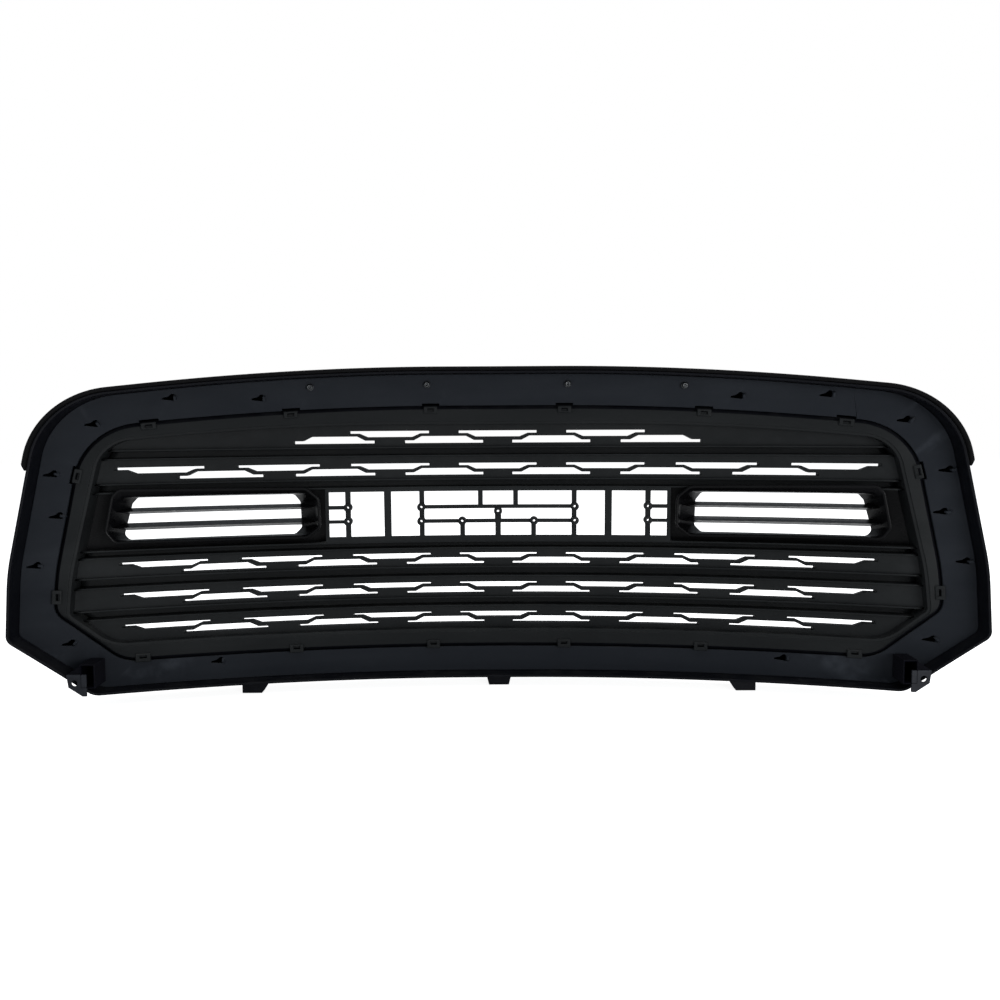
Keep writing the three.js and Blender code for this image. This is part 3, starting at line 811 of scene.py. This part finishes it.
CARRIER_HALF = 213
LATTICE_FRONT = -11
LATTICE_REAR = -6
SIDE_WINDOWS = [
    (188.8, 209, 187.5, 204.5), (188.8, 209, 208.5, 222), (188.8, 209, 226.5, 243.5),
    (141.5, 182.6, 187.5, 243.5), (98, 133, 187.5, 243.5),
    (25, 92, 226, 243.5), (4, 92, 208, 221.5), (47.5, 92, 187.5, 203.5), (3.5, 41.5, 187.5, 203.5),
]
MIDDLE_WINDOW = (-19, 19, 226, 243.5)
BOSSES = [(185.7, 224.3), (185.7, 206.9), (95.6, 223.7), (95.7, 206), (44.9, 205.7)]
MIDDLE_BOSS = (0, 217.9)
BOSS_RADIUS = 5.2
BOSS_BORE = 1.6
BOSS_HEIGHT = 3  # behind the lattice
BORE_REACH = 12  # half the length of a bore's cutter
CARRIER_STATIONS = 17 * np.arange(-12, 13)


def carrier_slab():
    low, high = heights("badge_carrier")
    x = np.concatenate([[-CARRIER_HALF], CARRIER_STATIONS, [CARRIER_HALF]])
    corners = [
        (low - LAP, LATTICE_REAR), (low - LAP, LATTICE_FRONT),
        (high + LAP, LATTICE_FRONT), (high + LAP, LATTICE_REAR),
    ]
    return skin([bent(x + 1j * z, depth) for z, depth in corners], closed=False)


def make_badge_carrier():
    carrier = build("badge_carrier_fine", carrier_slab())
    windows = SIDE_WINDOWS + [(-b, -a, c, d) for a, b, c, d in SIDE_WINDOWS] + [MIDDLE_WINDOW]
    bosses = [MIDDLE_BOSS] + [(side * x, z) for x, z in BOSSES for side in (1, -1)]
    bore = [(BOSS_BORE, -BORE_REACH), (BOSS_BORE, BORE_REACH)]
    cut(carrier, *[prism(rectangle(*window), -CUT_REACH, CUT_REACH) for window in windows])
    cut(carrier, *[lathe(x, z, bore, surface_at(x, z) + LATTICE_REAR) for x, z in bosses])
    finished(carrier, INSERT, "insert_plastic", "badge_carrier", bevel=0.4)
    front, rear = LATTICE_FRONT - LATTICE_REAR - 1, BOSS_HEIGHT
    ring = [
        (BOSS_BORE, front), (BOSS_BORE, rear - 0.5), (BOSS_BORE + 0.5, rear), (BOSS_RADIUS - 0.6, rear),
        (BOSS_RADIUS, rear - 0.6), (BOSS_RADIUS, front),
    ]
    rings = build("badge_carrier_bosses", *[
        lathe(x, z, ring, surface_at(x, z) + LATTICE_REAR, closed=True) for x, z in bosses
    ])
    finished(rings, INSERT, "insert_plastic", "badge_carrier")


# Fixings

BRACKET_BOX = (464, 481, 27, 55)
SOCKET_WALL = 1.8
BRACKET_PLATE = [474 + 17.5j, 479 + 17.5j, 495 + 28j, 497 + 43j, 474 + 43j]
BRACKET_HOLE = (488, 33, 3.5)
BRACKET_GUSSET = [480 + 43j, 496 + 43j, 480 + 54j]


def make_lower_bracket(side, hand):
    def handed(outline):
        return np.array([complex(side * point.real, point.imag) for point in outline])

    name = f"lower_bracket_{hand}"
    inner, outer, low, high = BRACKET_BOX
    corner = BRACKET_PLATE[3]
    front = surface_at(outer, high) + 1
    seat = surface_at(corner.real, corner.imag) + RIM_DEPTH + 1
    rear = seat + WALL
    plate = build(name + "_plate", prism(handed(BRACKET_PLATE), seat, rear))
    x, z, radius = BRACKET_HOLE
    cut(plate, lathe(side * x, z, [(radius, -CUT_REACH), (radius, CUT_REACH)], seat))
    finished(plate, BRACKET, "bracket_steel", name, bevel=0.7)
    socket = build(name + "_socket", prism(handed(rectangle(*BRACKET_BOX)), front, rear))
    pocket = rectangle(
        inner + SOCKET_WALL, outer - SOCKET_WALL, low + SOCKET_WALL, high - SOCKET_WALL,
    )
    cut(socket, prism(handed(pocket), front + WALL, rear + WALL))
    # The socket is finished in the near-black, partly painted shade.
    finished(socket, PAINTED_SHADE_BLACK, "bracket_steel", name, bevel=0.6)
    # The gusset is a dark web in the same near-black, painted shade where the hollow above the plate
    # lies in shadow.
    gusset = build(name + "_gusset", prism(handed(BRACKET_GUSSET), front + WALL, seat + 1))
    finished(gusset, PAINTED_SHADE_BLACK, "bracket_steel", name, bevel=0.6)


TAB_DEPTH = 14
TAB_OFFSET = 8
TAB_WALL = 3  # beside the pockets
TAB_WEB = 1.5  # half of the web between the pockets
TAB_SKIN = 2.5  # above and below the pockets
TAB_BACK = 2  # from the middle of the tab to the floor of the pockets, forwards
TAB_DRIFT = 4  # how far the lower edge of an outer tab lies further out than its top


def make_locating_tab(name, top_width, bottom_width, drift):
    """A tapered tab with two pockets in front; the drift moves its lower edge sideways."""
    low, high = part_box(name)
    x = (low.x + high.x) / 2 / MM
    z = high.z / MM + LAP
    middle = surface_at(x, 0) + TAB_OFFSET
    outline = [x + drift - bottom_width / 2, x + drift + bottom_width / 2,
               complex(x + top_width / 2, z), complex(x - top_width / 2, z)]
    tab = build(name + "_fine", prism(outline, middle - TAB_DEPTH / 2, middle + TAB_DEPTH / 2))
    width = bottom_width / 2 - TAB_WALL - TAB_WEB
    centre = x + drift / 2
    pockets = [
        rectangle(start, start + width, TAB_SKIN, z - TAB_SKIN)
        for start in (centre - width - TAB_WEB, centre + TAB_WEB)
    ]
    cut(tab, *[prism(pocket, middle - TAB_DEPTH, middle - TAB_BACK) for pocket in pockets])
    finished(tab, COVER, "cover_plastic", name, bevel=0.8)


# Profile of a flanged screw head with a recess: radius and depth from the panel's face.
SCREW_RECESS = [(0.01, 2.2), (1.3, 2.2), (1.6, 3.6)]
SCREW_HEAD = [
    (2.4, 4), (2.8, 3.6), (2.9, 1.4), (3.9, 1), (4.2, 0.5), (4, -0.8), (0.01, -0.8),
]


def make_trim_screw(name):
    low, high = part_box(name)
    x, z = (low.x + high.x) / 2 / MM, (low.z + high.z) / 2 / MM
    screw = build(name + "_fine", lathe(x, z, SCREW_RECESS + SCREW_HEAD, low.y / MM))
    finished(screw, SCREW, "screw_steel", name)


# Stage

FLOOR_HALF = 6000


def make_floor():
    """A white floor that only the camera sees at its full brightness."""
    corners = FLOOR_HALF * np.array([[-1, -1, 0], [1, -1, 0], [1, 1, 0], [-1, 1, 0]])
    floor = build("floor", (corners, [(0, 1, 2, 3)]))
    shader = Shader("pale_floor", Roughness=0.9, Specular_IOR_Level=0.1)
    shader.link(shader.mix(shader.noise(3, 4), (0.86, 0.86, 0.86), (0.9, 0.9, 0.9)), "Base Color")
    seen = shader.node("ShaderNodeLightPath").outputs["Is Camera Ray"]
    shader.link(shader.product(seen, 0.9), "Emission Strength")
    shader.surface.inputs["Emission Color"].default_value = (1, 1, 1, 1)
    floor.data.materials.append(shader.material)


def make_light(name, place, target, size, power):
    lamp = bpy.data.lights.new(name, "AREA")
    lamp.shape = "RECTANGLE"
    lamp.size, lamp.size_y = size
    lamp.energy = power
    light = bpy.data.objects.new(name, lamp)
    bpy.context.collection.objects.link(light)
    light.location = place
    aim = [t - p for t, p in zip(target, place)]
    light.rotation_euler = Vector(aim).to_track_quat("-Z", "Y").to_euler()


def make_world():
    """A white backdrop that lights the object only softly."""
    world = bpy.data.worlds.new("studio")
    bpy.context.scene.world = world
    world.use_nodes = True
    tree = world.node_tree
    backdrop = tree.nodes["Background"]
    ambient = tree.nodes.new("ShaderNodeBackground")
    backdrop.inputs["Color"].default_value = (1, 1, 1, 1)
    ambient.inputs["Color"].default_value = (0.86, 0.93, 1, 1)
    ambient.inputs["Strength"].default_value = 0.25
    mixer = tree.nodes.new("ShaderNodeMixShader")
    tree.links.new(tree.nodes.new("ShaderNodeLightPath").outputs["Is Camera Ray"], mixer.inputs[0])
    tree.links.new(ambient.outputs[0], mixer.inputs[1])
    tree.links.new(backdrop.outputs[0], mixer.inputs[2])
    tree.links.new(mixer.outputs[0], tree.nodes["World Output"].inputs["Surface"])


def make_camera():
    camera = bpy.data.cameras.new("camera")
    camera.lens = 37.69
    camera.sensor_width = 36.0
    camera.shift_x = 0.0025
    holder = bpy.data.objects.new("camera", camera)
    bpy.context.collection.objects.link(holder)
    holder.location = (0.0, 1.298, 0.34)
    holder.rotation_mode = "XYZ"
    holder.rotation_euler = (math.radians(90 - 4.75), math.radians(0.31), math.radians(180))
    bpy.context.scene.camera = holder


make_camera()
make_world()
make_floor()
make_light("key", (-1.2, 1.9, 0.4), (0, 0, 0.2), (0.9, 0.7), 13)
make_light("fill", (1.5, 2.0, 0.6), (0, 0, 0.2), (0.8, 1.2), 1)
make_light("top", (0, 0.2, 2.2), (0, 0, 0), (2.4, 2.0), 14)
make_light("front", (-0.6, -1.6, 2.6), (0, 0, 0.2), (1.6, 1.2), 45)

make_surround_cover()
make_surround_panel()
make_hood_edge_trim()
make_insert_border()
for bar_number in range(1, 6):
    make_channel_bar(bar_number)
for row_number in ROW_SLOTS:
    make_slot_row(row_number)
make_insert_clips()
make_vent(1, "left")
make_vent(-1, "right")
make_badge_carrier()
make_lower_bracket(1, "left")
make_lower_bracket(-1, "right")
make_locating_tab("locating_tab_centre", 31, 25, 0)
make_locating_tab("locating_tab_left", 32, 24, TAB_DRIFT)
make_locating_tab("locating_tab_right", 32, 24, -TAB_DRIFT)
for screw_hand in ("left", "right"):
    for screw_number in (1, 2):
        make_trim_screw(f"trim_screw_{screw_hand}_{screw_number}")

bpy.context.scene.view_settings.view_transform = "Standard"
